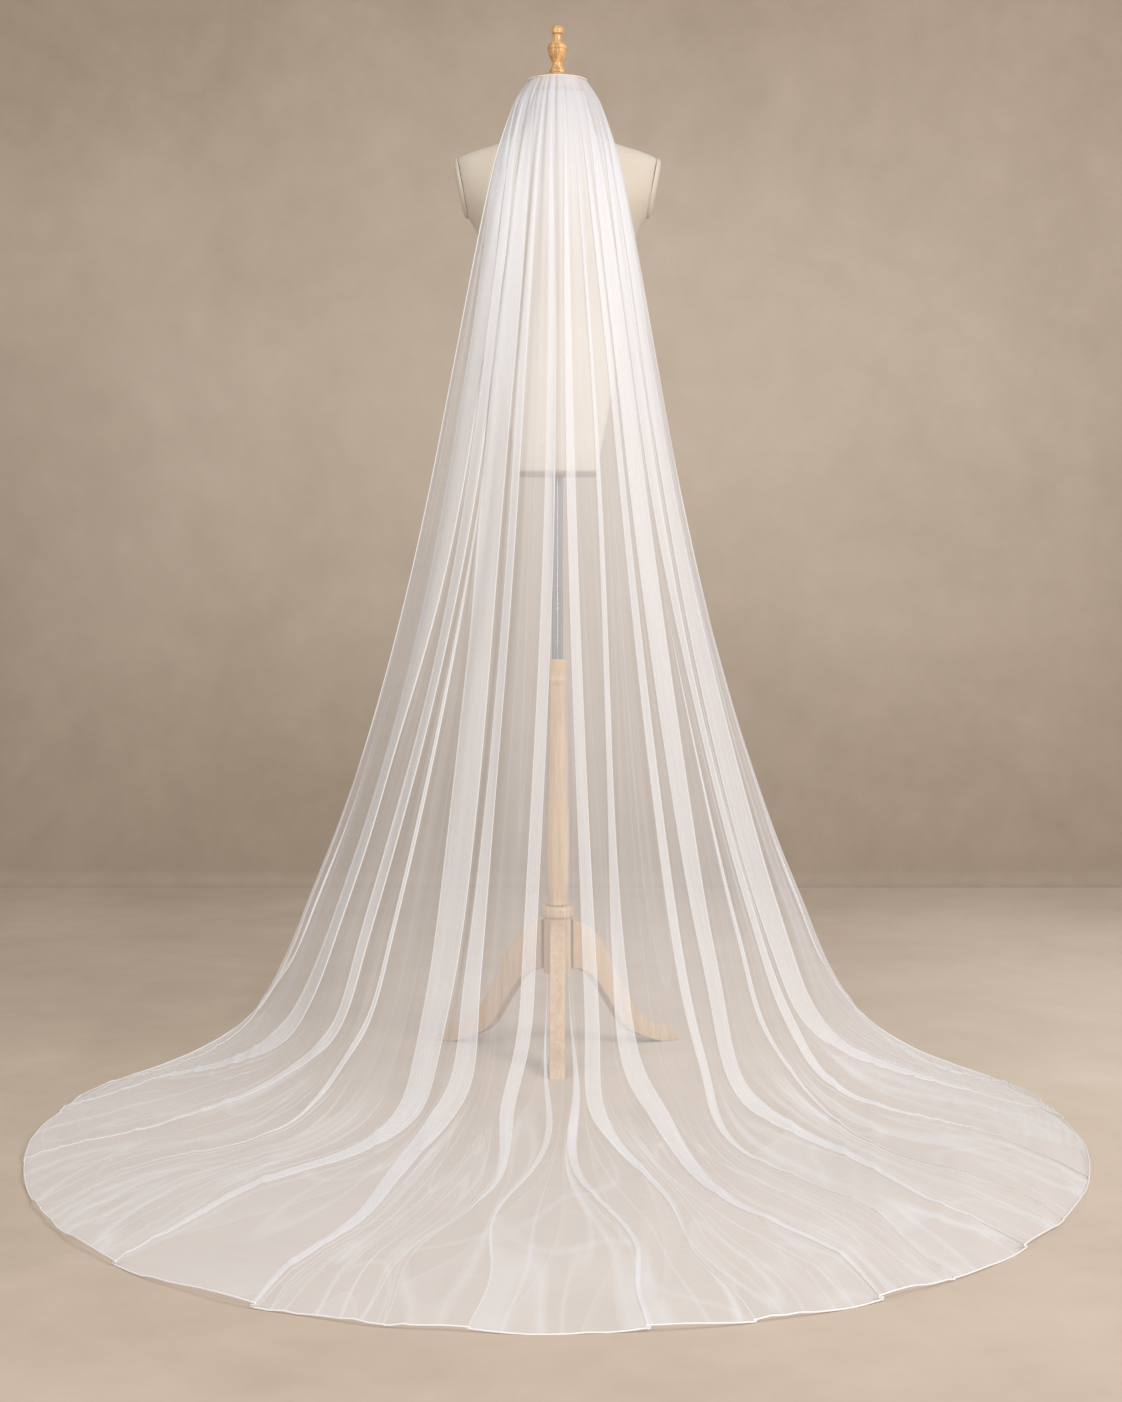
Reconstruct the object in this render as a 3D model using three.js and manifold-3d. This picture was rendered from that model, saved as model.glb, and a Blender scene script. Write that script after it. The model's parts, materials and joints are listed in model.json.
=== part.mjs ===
// A cathedral-length bridal veil of sheer tulle, draped over the back of a limbless dress form.
// Millimetres, +Z up. The train runs towards -Y, so "back" below means towards -Y from the form's axis.
import * as THREE from "three";
import { mergeVertices } from "three/addons/utils/BufferGeometryUtils.js";
import Module from "manifold-3d";

const wasm = await Module();
wasm.setup();

// Driving sizes
const formAxisY = 798; // the form stands this far forward of the middle of the whole footprint
const seamGap = 0.3; // clearance between pieces that meet
const tulleWall = 1.2; // thickness of the veil's wall
const hemCordRadius = 1.5;
const neckCap = { radius: 55, bottom: 1746, rim: 1762, dome: 19, steps: 6, segments: 40 };
const gatherCord = { radius: 1.6, ring: 48.3, height: 1774.6, sweep: 88, steps: 36 };
const rod = { radius: 10, bottom: 722, top: 1058, segments: 24 };
const leg = { thickness: 28, inner: 26, reach: 256, segments: 26 };
const torsoSides = 36;
const armPlate = { centreX: 171, centreZ: 1575, tilt: 11, thickness: 9, halfHeight: 55, halfDepth: 44 };

// One row for each ring of the veil, from the gathered top to the hem.
// width: half-width of the ring; side, back: how far back its two ends and its middle lie;
// sweep: half-angle in degrees; high, edge: height of the middle and of the ends;
// rise: how sharply the height changes towards the ends; cloth: cloth taken up by a fold of size 1;
// turn: steepest angle of that cloth in degrees; stand: share of the fold's height that is kept;
// lean: how far a fold falls over to its side.
const ringColumns = ["width", "side", "back", "sweep", "high", "edge", "rise", "cloth", "turn", "stand", "lean"];
const rings = [
  [51.5, 1, 53, 90, 1774, 1772, 2, 13, 60, 1, 0],
  [61, 9, 64, 90, 1763, 1760, 2, 17, 70, 1, 0],
  [73, 30, 84, 90, 1720, 1721, 2, 21, 78, 1, 0.1],
  [96, 84, 130, 90, 1610, 1618, 2, 27, 90, 1, 0.2],
  [119, 119, 162, 90, 1500, 1510, 2, 37, 98, 1, 0.25],
  [144, 122, 194, 90, 1360, 1372, 2, 58, 103, 1, 0.3],
  [170, 106, 234, 90, 1200, 1216, 2, 76, 105, 1, 0.3],
  [204, 92, 286, 90, 1000, 1022, 2, 92, 105, 1, 0.3],
  [245, 84, 342, 90, 800, 830, 2, 104, 104, 1, 0.3],
  [295, 82, 408, 90, 600, 640, 2.5, 112, 102, 1, 0.3],
  [352, 86, 486, 90, 400, 455, 3, 120, 98, 1, 0.3],
  [402, 92, 570, 90, 240, 320, 3, 125, 92, 0.95, 0.35],
  [448, 106, 680, 91, 110, 218, 3.5, 130, 82, 0.85, 0.4],
  [500, 136, 800, 92, 40, 140, 4, 134, 72, 0.72, 0.5],
  [562, 190, 950, 94, 8, 78, 4.5, 136, 62, 0.6, 0.6],
  [632, 266, 1120, 97, 0, 38, 5, 140, 54, 0.5, 0.6],
  [702, 368, 1310, 100, 0, 16, 5, 142, 46, 0.42, 0.5],
  [768, 500, 1520, 104, 0, 5, 5, 146, 40, 0.4, 0.4],
  [808, 620, 1711, 107, 0, 0, 5, 150, 36, 0.42, 0.3],
].map((row) => Object.fromEntries(row.map((value, i) => [ringColumns[i], value])));

// One row for each fold, from the left side edge to the right one as seen from the train.
// upper, lower, hem: where it runs, in degrees round the ring, at hip height, near the floor and at the hem;
// size: its share of cloth; crest: how much of it still stands at the hem;
// start: the ring where it begins; fall: the side it leans to; steps: flat strips across it.
const folds = [
  { upper: -68, lower: -74, hem: -95, size: 0.8, crest: 0.2, start: -4, fall: 1, steps: 8 },
  { upper: -47, lower: -54, hem: -70, size: 1.5, crest: 0.5, start: -4, fall: -1, steps: 8 },
  { upper: -35, lower: -39, hem: -58, size: 0.6, crest: 0.3, start: -4, fall: -1, steps: 8 },
  { upper: -25, lower: -25.5, hem: -43, size: 1.4, crest: 1, start: -4, fall: -1, steps: 8 },
  { upper: -14.5, lower: -17, hem: -24, size: 0.75, crest: 1.3, start: -4, fall: -1, steps: 8 },
  { upper: -3, lower: -5.5, hem: -11, size: 0.95, crest: 0.4, start: -4, fall: -1, steps: 8 },
  { upper: 1.5, lower: -0.5, hem: -2.5, size: 0.5, crest: 1, start: 11, fall: -1, steps: 4 },
  { upper: 2, lower: 2.5, hem: 7.5, size: 0.55, crest: 1.4, start: 11, fall: 1, steps: 4 },
  { upper: 6.5, lower: 7.5, hem: 16.5, size: 0.9, crest: 0.6, start: -4, fall: 1, steps: 8 },
  { upper: 18, lower: 15, hem: 29, size: 0.95, crest: 1.4, start: -4, fall: 1, steps: 8 },
  { upper: 31, lower: 29.5, hem: 38, size: 1.15, crest: 0.5, start: -4, fall: 1, steps: 8 },
  { upper: 42.5, lower: 38.5, hem: 52.5, size: 0.9, crest: 0.4, start: -4, fall: 1, steps: 8 },
  { upper: 48.8, lower: 48, hem: 61, size: 0.5, crest: 0.5, start: 9, fall: 1, steps: 4 },
  { upper: 57.5, lower: 58, hem: 70, size: 1.3, crest: 0.5, start: -4, fall: -1, steps: 8 },
  { upper: 74, lower: 76.5, hem: 92, size: 0.8, crest: 0.2, start: -4, fall: -1, steps: 8 },
];
const upperRing = 6;
const lowerRing = 11;
const growRings = 4; // a fold reaches its full size this many rings below its start
const leastCloth = 0.4; // what a fold takes above its start
const gatherSweep = 85; // half-angle that the folds share out at the gather

// Half outline of the linen form at each height: half-width, depth to the front and to the back.
const torsoRings = [
  { height: 1058, width: 145, front: 100, back: 100 },
  { height: 1066, width: 150, front: 105, back: 105 },
  { height: 1110, width: 151, front: 108, back: 109 },
  { height: 1190, width: 145, front: 103, back: 104 },
  { height: 1270, width: 126, front: 90, back: 88 },
  { height: 1340, width: 112, front: 84, back: 80 },
  { height: 1400, width: 118, front: 98, back: 86 },
  { height: 1460, width: 135, front: 118, back: 96 },
  { height: 1500, width: 148, front: 118, back: 101 },
  { height: 1524, width: 164, front: 112, back: 103 },
  { height: 1550, width: 181, front: 102, back: 104 },
  { height: 1578, width: 190, front: 90, back: 99 },
  { height: 1604, width: 190, front: 76, back: 88 },
  { height: 1624, width: 184, front: 64, back: 74 },
  { height: 1638, width: 158, front: 58, back: 63 },
  { height: 1654, width: 108, front: 54, back: 56 },
  { height: 1674, width: 70, front: 51, back: 51 },
  { height: 1700, width: 56, front: 49, back: 49 },
  { height: 1745.7, width: 52, front: 48, back: 48 },
];

// Turned profiles, radius against height. The finial's heights start at the top of the neck cap.
const finialProfile = [
  [0, 0], [14.2, 0], [14.8, 2], [14.6, 5], [12.6, 8.5], [10.6, 12.5], [9.6, 18], [11.4, 23.5], [15, 31],
  [17.2, 40], [16.9, 41.5], [18, 43.5], [18.4, 46.5], [16.6, 50], [12.6, 54.5], [9.8, 57.5], [8.6, 61],
  [8.7, 69.5], [11.6, 71.5], [12, 73.5], [12.3, 77], [10.8, 82], [7, 85.8], [0, 88],
];
const poleProfile = [
  [0, 270.3], [17, 270.3], [17.5, 282], [19.5, 305], [21.5, 345], [21.8, 390], [20.5, 450], [18.6, 520],
  [17.2, 600], [16.6, 668], [17.4, 676], [19, 684], [17.6, 690], [17.6, 700], [18.4, 706], [18.2, 716],
  [16, 721.7], [0, 721.7],
];
const collarProfile = [[0, 248.3], [27, 248.3], [30.5, 252], [31, 259], [30.5, 266], [26, 270], [0, 270]];
const hubProfile = [[0, 148], [23.5, 148], [25.5, 150], [25.5, 246], [24.5, 248], [0, 248]];

// Leg outline seen from its side, distance from the pole's axis against height.
const legTopEdge = [[26, 244], [66, 224], [106, 172], [150, 88], [190, 44], [232, 29], [252, 15]];
const legUnderEdge = [[222, 0], [178, 14], [138, 38], [104, 88], [74, 130], [46, 149], [26, 153]];

// Colours
function look(color, roughness, metalness = 0) {
  return new THREE.MeshStandardMaterial({ color, roughness, metalness });
}
const looks = {
  tulle: look(0xf4f1f2, 0.85),
  hem: look(0xfbf9fa, 0.7),
  linen: look(0xe2d6c2, 0.95),
  honeyWood: look(0xb5803f, 0.35),
  paleWood: look(0xd9bf9d, 0.5),
  steel: look(0xb4b6b8, 0.3, 1),
};
looks.tulle.transparent = true;
looks.tulle.opacity = 0.5;

const radians = THREE.MathUtils.degToRad;
const smooth = (x) => THREE.MathUtils.smoothstep(x, 0, 1);
const mix = THREE.MathUtils.lerp;
const clamp = THREE.MathUtils.clamp;

// A fold of cloth one unit long, as points across it: how far along the ring, and how far out.
function foldShape(turn, steps) {
  const fine = 16;
  const points = [new THREE.Vector2(0, 0)];
  let along = 0;
  let out = 0;
  for (let i = 0; i < steps * fine; i++) {
    const angle = turn * Math.sin((2 * Math.PI * (i + 0.5)) / (steps * fine));
    along += Math.cos(angle) / (steps * fine);
    out += Math.sin(angle) / (steps * fine);
    if ((i + 1) % fine === 0) points.push(new THREE.Vector2(along, out));
  }
  return points;
}

// A point of the smooth surface that the folds stand on.
function surfacePoint(ring, angle) {
  const reach = ring.back - ring.side;
  const sideways = Math.abs(Math.sin((angle * 90) / ring.sweep));
  return new THREE.Vector3(
    ring.width * Math.sin(angle),
    -(ring.side + reach * Math.cos(angle)),
    ring.high + (ring.edge - ring.high) * sideways ** ring.rise,
  );
}

// Directions along the ring and out of the surface, and the length of ring to a radian.
function surfaceFrame(row, angle) {
  const nudge = 0.01;
  const above = rings[Math.max(row - 1, 0)];
  const below = rings[Math.min(row + 1, rings.length - 1)];
  const along = surfacePoint(rings[row], angle + nudge).sub(surfacePoint(rings[row], angle - nudge));
  const down = surfacePoint(below, angle).sub(surfacePoint(above, angle));
  const stretch = along.length() / (2 * nudge);
  const outward = new THREE.Vector3().crossVectors(down, along).normalize();
  return { stretch, outward };
}

// At the gather the folds lie side by side, each as wide as its size asks.
function gatherAngle(fold) {
  const widthOf = (one) => (one.start < 0 ? one.size : leastCloth / 10);
  const total = folds.reduce((sum, one) => sum + widthOf(one), 0);
  const before = folds.slice(0, folds.indexOf(fold)).reduce((sum, one) => sum + widthOf(one), 0);
  return mix(-gatherSweep, gatherSweep, (before + widthOf(fold) / 2) / total);
}

// Where a fold runs on one ring, and how large it is there.
function foldOnRing(fold, row) {
  const ring = rings[row];
  const nearHem = smooth((row - lowerRing) / (rings.length - 1 - lowerRing));
  let place = mix(fold.lower, fold.hem, nearHem);
  const nearFloor = smooth((row - upperRing) / (lowerRing - upperRing));
  if (row <= lowerRing) place = mix(fold.upper, fold.lower, nearFloor);
  if (row <= upperRing) place = mix(gatherAngle(fold), fold.upper, smooth(row / upperRing));
  const grown = smooth((row - fold.start) / growRings);
  return {
    angle: radians(place),
    cloth: Math.max(ring.cloth * fold.size * grown, leastCloth),
    turn: radians(ring.turn) * Math.max(grown, 0.1) * mix(1, fold.crest, nearHem),
    stand: ring.stand,
    lean: ring.lean * fold.fall,
  };
}

// All points of one ring: the side edge, each fold in turn, and the other side edge.
function ringPoints(row) {
  const ring = rings[row];
  const edge = radians(ring.sweep);
  const points = [surfacePoint(ring, -edge)];
  for (const fold of folds) {
    const { angle, cloth, turn, stand, lean } = foldOnRing(fold, row);
    const { stretch, outward } = surfaceFrame(row, angle);
    const shape = foldShape(turn, fold.steps);
    const span = shape[fold.steps].x;
    for (const { x, y } of shape) {
      const out = y * cloth * stand;
      const along = (x - span / 2) * cloth + lean * out;
      points.push(surfacePoint(ring, angle + along / stretch).addScaledVector(outward, out));
    }
  }
  points.push(surfacePoint(ring, edge));
  for (const point of points) point.z = Math.max(point.z, tulleWall / 2);
  return points;
}

const veilGrid = rings.map((ring, row) => ringPoints(row));

// Unit normals of a grid of points, facing away from the form.
function gridNormals(grid) {
  const lastRow = grid.length - 1;
  const lastColumn = grid[0].length - 1;
  return grid.map((points, row) =>
    points.map((point, column) => {
      const along = grid[row][Math.min(column + 1, lastColumn)].clone();
      along.sub(grid[row][Math.max(column - 1, 0)]);
      const down = grid[Math.min(row + 1, lastRow)][column].clone();
      down.sub(grid[Math.max(row - 1, 0)][column]);
      return new THREE.Vector3().crossVectors(down, along).normalize();
    }),
  );
}

function geometryOf(vertices, triangles) {
  const geometry = new THREE.BufferGeometry();
  const numbers = vertices.flatMap((vertex) => vertex.toArray());
  geometry.setAttribute("position", new THREE.Float32BufferAttribute(numbers, 3));
  geometry.setIndex(triangles);
  return geometry;
}

// A closed wall of even thickness round a grid of middle points.
function wallOfGrid(grid, thickness) {
  const normals = gridNormals(grid);
  const rowCount = grid.length;
  const columnCount = grid[0].length;
  const skin = (side) =>
    grid.flatMap((points, row) =>
      points.map((point, column) => {
        const moved = point.clone().addScaledVector(normals[row][column], (side * thickness) / 2);
        moved.z = Math.max(moved.z, 0);
        return moved;
      }),
    );
  const vertices = [...skin(1), ...skin(-1)];
  const outer = (row, column) => row * columnCount + column;
  const inner = (row, column) => rowCount * columnCount + outer(row, column);
  const triangles = [];
  const quad = (a, b, c, d) => triangles.push(a, b, c, a, c, d);
  for (let row = 0; row + 1 < rowCount; row++) {
    for (let column = 0; column + 1 < columnCount; column++) {
      const [right, below] = [column + 1, row + 1];
      quad(outer(row, column), outer(below, column), outer(below, right), outer(row, right));
      quad(inner(row, column), inner(row, right), inner(below, right), inner(below, column));
    }
    const end = columnCount - 1;
    quad(outer(row, 0), inner(row, 0), inner(row + 1, 0), outer(row + 1, 0));
    quad(outer(row, end), outer(row + 1, end), inner(row + 1, end), inner(row, end));
  }
  for (let column = 0; column + 1 < columnCount; column++) {
    const end = rowCount - 1;
    quad(outer(0, column), outer(0, column + 1), inner(0, column + 1), inner(0, column));
    quad(outer(end, column), inner(end, column), inner(end, column + 1), outer(end, column + 1));
  }
  return geometryOf(vertices, triangles);
}

// A closed round cord through a list of points.
function cordThrough(points, radius, sides) {
  const vertices = [];
  const triangles = [];
  let across = new THREE.Vector3(0, 0, 1);
  points.forEach((point, i) => {
    const ahead = points[Math.min(i + 1, points.length - 1)];
    const behind = points[Math.max(i - 1, 0)];
    const along = ahead.clone().sub(behind).normalize();
    if (i === 0 && Math.abs(along.z) > 0.7) across.set(0, 1, 0);
    across = across.clone().addScaledVector(along, -across.dot(along)).normalize();
    const other = new THREE.Vector3().crossVectors(along, across);
    for (let k = 0; k < sides; k++) {
      const turn = (2 * Math.PI * k) / sides;
      const rim = point.clone().addScaledVector(across, radius * Math.cos(turn));
      vertices.push(rim.addScaledVector(other, radius * Math.sin(turn)));
    }
  });
  for (let i = 0; i + 1 < points.length; i++) {
    for (let k = 0; k < sides; k++) {
      const a = i * sides + k;
      const b = i * sides + ((k + 1) % sides);
      triangles.push(a, b, b + sides, a, b + sides, a + sides);
    }
  }
  const last = (points.length - 1) * sides;
  for (let k = 1; k + 1 < sides; k++) {
    triangles.push(0, k + 1, k);
    triangles.push(last, last + k, last + k + 1);
  }
  return geometryOf(vertices, triangles);
}

// The edge cord is stitched on in three lengths: down each side edge, and along the hem.
// Each point of its route is moved clear of the tulle's own edge.
function edgeRoutes() {
  const clear = hemCordRadius + seamGap;
  const normals = gridNormals(veilGrid);
  const lastRow = veilGrid.length - 1;
  const lastColumn = veilGrid[0].length - 1;
  const at = (row, column) =>
    veilGrid[clamp(row, 0, lastRow)][clamp(column, 0, lastColumn)];
  const away = (row, column, downStep, acrossStep, inside) => {
    const along = at(row + downStep, column + acrossStep).clone();
    along.sub(at(row - downStep, column - acrossStep));
    const out = new THREE.Vector3().crossVectors(normals[row][column], along).normalize();
    const outwards = at(row, column).clone().sub(inside);
    return out.multiplyScalar(Math.sign(out.dot(outwards)));
  };
  const moved = (row, column, ...ways) => {
    const point = at(row, column).clone();
    for (const way of ways) point.addScaledVector(way, clear);
    point.z = Math.max(point.z, hemCordRadius);
    return point;
  };
  const sideways = (row, column) => away(row, column, 1, 0, at(row, column === 0 ? 1 : lastColumn - 1));
  const downwards = (column) => away(lastRow, column, 0, 1, at(lastRow - 1, column));
  const sideRoute = (column) => veilGrid.map((points, row) => moved(row, column, sideways(row, column)));
  const hem = veilGrid[lastRow].map((point, column) => moved(lastRow, column, downwards(column)));
  const shorten = (route) => {
    const last = route.length - 1;
    const step = route[last].clone().sub(route[last - 1]);
    route[last].addScaledVector(step, -(2 * hemCordRadius + seamGap) / step.length());
    return route;
  };
  return { left: shorten(sideRoute(0)), hem, right: shorten(sideRoute(lastColumn)) };
}

// A closed skin through rings of points, each with the same number of points.
function loft(sections) {
  const sides = sections[0].length;
  const vertices = sections.flat();
  const triangles = [];
  for (let i = 0; i + 1 < sections.length; i++) {
    for (let k = 0; k < sides; k++) {
      const a = i * sides + k;
      const b = i * sides + ((k + 1) % sides);
      triangles.push(a, b, b + sides, a, b + sides, a + sides);
    }
  }
  const top = (sections.length - 1) * sides;
  for (let k = 1; k + 1 < sides; k++) {
    triangles.push(0, k + 1, k);
    triangles.push(top, top + k, top + k + 1);
  }
  return geometryOf(vertices, triangles);
}

function torsoGeometry() {
  const sections = torsoRings.map(({ height, width, front, back }) =>
    Array.from({ length: torsoSides }, (_, k) => {
      const turn = (2 * Math.PI * k) / torsoSides;
      const depth = Math.sin(turn) > 0 ? front : back;
      return new THREE.Vector3(width * Math.cos(turn), depth * Math.sin(turn), height);
    }),
  );
  return loft(sections);
}

function solidOf(geometry, matrix) {
  const bare = new THREE.BufferGeometry();
  bare.setAttribute("position", geometry.getAttribute("position").clone());
  if (geometry.index) bare.setIndex(geometry.index.clone());
  bare.applyMatrix4(matrix);
  const merged = mergeVertices(bare, 1e-3);
  return new wasm.Manifold(
    new wasm.Mesh({
      numProp: 3,
      vertProperties: merged.attributes.position.array,
      triVerts: new Uint32Array(merged.index.array),
    }),
  );
}

function geometryOfSolid(solid) {
  const { numProp, vertProperties, triVerts } = solid.getMesh();
  const vertices = [];
  for (let i = 0; i < vertProperties.length; i += numProp) {
    vertices.push(new THREE.Vector3(vertProperties[i], vertProperties[i + 1], vertProperties[i + 2]));
  }
  return geometryOf(vertices, Array.from(triVerts));
}

// The frame of an arm plate: its own +Z points out of the armhole.
function armFrame(side) {
  const frame = new THREE.Matrix4().makeTranslation(side * armPlate.centreX, 0, armPlate.centreZ);
  const tipOut = new THREE.Matrix4().makeRotationY(side * radians(90 + armPlate.tilt));
  return frame.multiply(tipOut);
}

// The form's cloth ends in a flat oval at each armhole, where the arm plate sits.
function cutTorso() {
  const slab = new THREE.BoxGeometry(400, 400, 100);
  slab.translate(0, 0, 50 - seamGap);
  let torso = solidOf(torsoGeometry(), new THREE.Matrix4());
  for (const side of [-1, 1]) torso = torso.subtract(solidOf(slab, armFrame(side)));
  return geometryOfSolid(torso);
}

function armPlateGeometry() {
  const { thickness, halfHeight, halfDepth } = armPlate;
  const round = 3;
  const profile = [
    [0, 0], [1, 0], [1, thickness - round], [1 - round / halfDepth, thickness], [0, thickness],
  ];
  return turned(profile, 32).scale(halfHeight, halfDepth, 1);
}

function turned(profile, segments) {
  const lathe = new THREE.LatheGeometry(profile.map(([r, z]) => new THREE.Vector2(r, z)), segments);
  return lathe.rotateX(Math.PI / 2);
}

function legGeometry() {
  const edge = (points) =>
    new THREE.SplineCurve(points.map(([r, z]) => new THREE.Vector2(r, z))).getPoints(leg.segments / 2);
  const toe = new THREE.Vector2(leg.reach, 0);
  const outline = new THREE.Shape([...edge(legTopEdge), toe, ...edge(legUnderEdge)]);
  const plank = new THREE.ExtrudeGeometry(outline, { depth: leg.thickness, bevelEnabled: false });
  plank.translate(0, 0, -leg.thickness / 2);
  return plank.rotateX(Math.PI / 2);
}

// The cord that holds the gathers, laid on the cap's dome in a half ring.
function gatherRoute() {
  return Array.from({ length: gatherCord.steps + 1 }, (_, i) => {
    const { ring, height, sweep, steps } = gatherCord;
    const turn = radians(mix(-sweep, sweep, i / steps) - 90);
    return new THREE.Vector3(ring * Math.cos(turn), ring * Math.sin(turn), height);
  });
}

// The neck cap's side, then its dome from the rim to the middle.
function capProfile() {
  const { radius, bottom, rim, dome, steps } = neckCap;
  const profile = [[0, bottom], [radius - 3, bottom], [radius, bottom + 3]];
  for (let i = 0; i <= steps; i++) {
    const turn = (Math.PI / 2) * (i / steps);
    profile.push([i === steps ? 0 : radius * Math.cos(turn), rim + dome * Math.sin(turn)]);
  }
  return profile;
}

const part = new THREE.Group();
const form = new THREE.Group();
form.position.y = formAxisY;
part.add(form);

function place(name, geometry, material, parent = form) {
  const mesh = new THREE.Mesh(geometry, material);
  mesh.name = name;
  parent.add(mesh);
  return mesh;
}

// The veil
place("veil_panel", wallOfGrid(veilGrid, tulleWall), looks.tulle);
const routes = edgeRoutes();
place("edge_left", cordThrough(routes.left, hemCordRadius, 6), looks.hem);
place("edge_hem", cordThrough(routes.hem, hemCordRadius, 6), looks.hem);
place("edge_right", cordThrough(routes.right, hemCordRadius, 6), looks.hem);
place("gathering_cord", cordThrough(gatherRoute(), gatherCord.radius, 6), looks.hem);

// The dress form
place("torso", cutTorso(), looks.linen);
for (const [name, side] of [["arm_plate_left", -1], ["arm_plate_right", 1]]) {
  place(name, armPlateGeometry(), looks.linen).applyMatrix4(armFrame(side));
}
place("neck_cap", turned(capProfile(), neckCap.segments), looks.honeyWood);
const finial = place("finial", turned(finialProfile, 28), looks.honeyWood);
finial.position.z = neckCap.rim + neckCap.dome + seamGap;

// The stand
const rodLength = rod.top - rod.bottom - 2 * seamGap;
const tube = new THREE.CylinderGeometry(rod.radius, rod.radius, rodLength, rod.segments);
place("steel_rod", tube.rotateX(Math.PI / 2), looks.steel).position.z = (rod.top + rod.bottom) / 2;
place("pole", turned(poleProfile, 28), looks.paleWood);
place("collar", turned(collarProfile, 28), looks.paleWood);
place("hub", turned(hubProfile, 28), looks.paleWood);
for (const [name, heading] of [["leg_back", -90], ["leg_left", 150], ["leg_right", 30]]) {
  place(name, legGeometry(), looks.paleWood).rotation.z = radians(heading);
}

export default part;
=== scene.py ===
# %% [markdown]
# # A sheer cathedral veil on a dress form
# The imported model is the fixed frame: a limbless linen form on a turned stand, and the
# veil's wall, whose folds are coarse. Here the cloth is rebuilt as one thin, fine sheet on the same
# form, the wood, steel and linen get smooth bodies and their finishes, and a camera and soft light
# are set up as in a photographer's studio. The tables of cloth, body and wood are in millimetres,
# and their points are turned into Blender's metres.

import json
import math

import bmesh
import bpy
import numpy as np
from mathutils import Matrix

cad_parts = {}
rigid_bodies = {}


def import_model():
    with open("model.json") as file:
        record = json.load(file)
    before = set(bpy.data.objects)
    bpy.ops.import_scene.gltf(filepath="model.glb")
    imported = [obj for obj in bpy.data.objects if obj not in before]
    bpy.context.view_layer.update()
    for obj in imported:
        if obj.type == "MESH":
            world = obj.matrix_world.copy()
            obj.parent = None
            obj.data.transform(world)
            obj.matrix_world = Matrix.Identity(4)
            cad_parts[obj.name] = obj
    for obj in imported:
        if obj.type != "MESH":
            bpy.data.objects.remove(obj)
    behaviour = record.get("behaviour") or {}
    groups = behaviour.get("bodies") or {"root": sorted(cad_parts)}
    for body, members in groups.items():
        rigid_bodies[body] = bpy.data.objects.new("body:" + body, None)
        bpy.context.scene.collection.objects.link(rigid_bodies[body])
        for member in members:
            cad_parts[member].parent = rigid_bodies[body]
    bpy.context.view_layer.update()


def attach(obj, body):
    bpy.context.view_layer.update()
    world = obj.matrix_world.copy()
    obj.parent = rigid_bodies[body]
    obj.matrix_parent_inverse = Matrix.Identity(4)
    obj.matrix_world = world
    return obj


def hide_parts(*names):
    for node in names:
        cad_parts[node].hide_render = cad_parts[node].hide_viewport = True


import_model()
MM = 0.001
form_axis_y = 0.798

# %% [markdown]
# ## The camera
# The photographer stood about four and a half metres behind the form, with the camera a little
# below the form's waist and tipped slightly down, so that the train spreads out in front. A real
# tilt is used here and not a shifted lens, because every other view keeps the lens as it is.

# %% Camera
camera_back = 4.391
camera_height = 0.830
camera_tip = 0.042
lens = 61.7

camera_data = bpy.data.cameras.new("studio_camera")
camera_data.sensor_fit = "VERTICAL"
camera_data.sensor_height = 36.0
camera_data.lens = lens
camera_data.clip_end = 40
camera = bpy.data.objects.new("studio_camera", camera_data)
camera.location = (0.0065, form_axis_y - camera_back, camera_height)
camera.rotation_euler = (math.pi / 2 - camera_tip, 0, 0)
bpy.context.collection.objects.link(camera)
bpy.context.scene.camera = camera
print("camera at", tuple(round(c, 3) for c in camera.location))

# %% [markdown]
# ## Shader sums as Python
# A node tree for a finish is mostly small sums. The class below wraps an output socket, so that
# `1 - mask * 0.5` adds its own Math nodes, and one method adds any other node: its settings come
# first, because some of them decide which sockets there are.

# %% A small language for finishes
class Wire:
    """An output socket of a finish, which can be used in sums."""

    def __init__(self, finish, socket):
        self.finish = finish
        self.socket = socket

    def sum(self, operation, first, second=0.0, third=0.0):
        sockets = {0: first, 1: second, 2: third}
        return self.finish.node("ShaderNodeMath", {"operation": operation}, sockets)

    def __add__(self, other):
        return self.sum("ADD", self, other)

    def __radd__(self, other):
        return self.sum("ADD", other, self)

    def __sub__(self, other):
        return self.sum("SUBTRACT", self, other)

    def __rsub__(self, other):
        return self.sum("SUBTRACT", other, self)

    def __mul__(self, other):
        return self.sum("MULTIPLY", self, other)

    def __rmul__(self, other):
        return self.sum("MULTIPLY", other, self)

    def __truediv__(self, other):
        return self.sum("DIVIDE", self, other)

    def __rtruediv__(self, other):
        return self.sum("DIVIDE", other, self)

    def __pow__(self, other):
        return self.sum("POWER", self, other)

    def __rpow__(self, other):
        return self.sum("POWER", other, self)

    def within(self, low, high):
        return self.sum("MINIMUM", self.sum("MAXIMUM", self, low), high)

    def away(self, middle):
        return self.sum("ABSOLUTE", self - middle)


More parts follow.
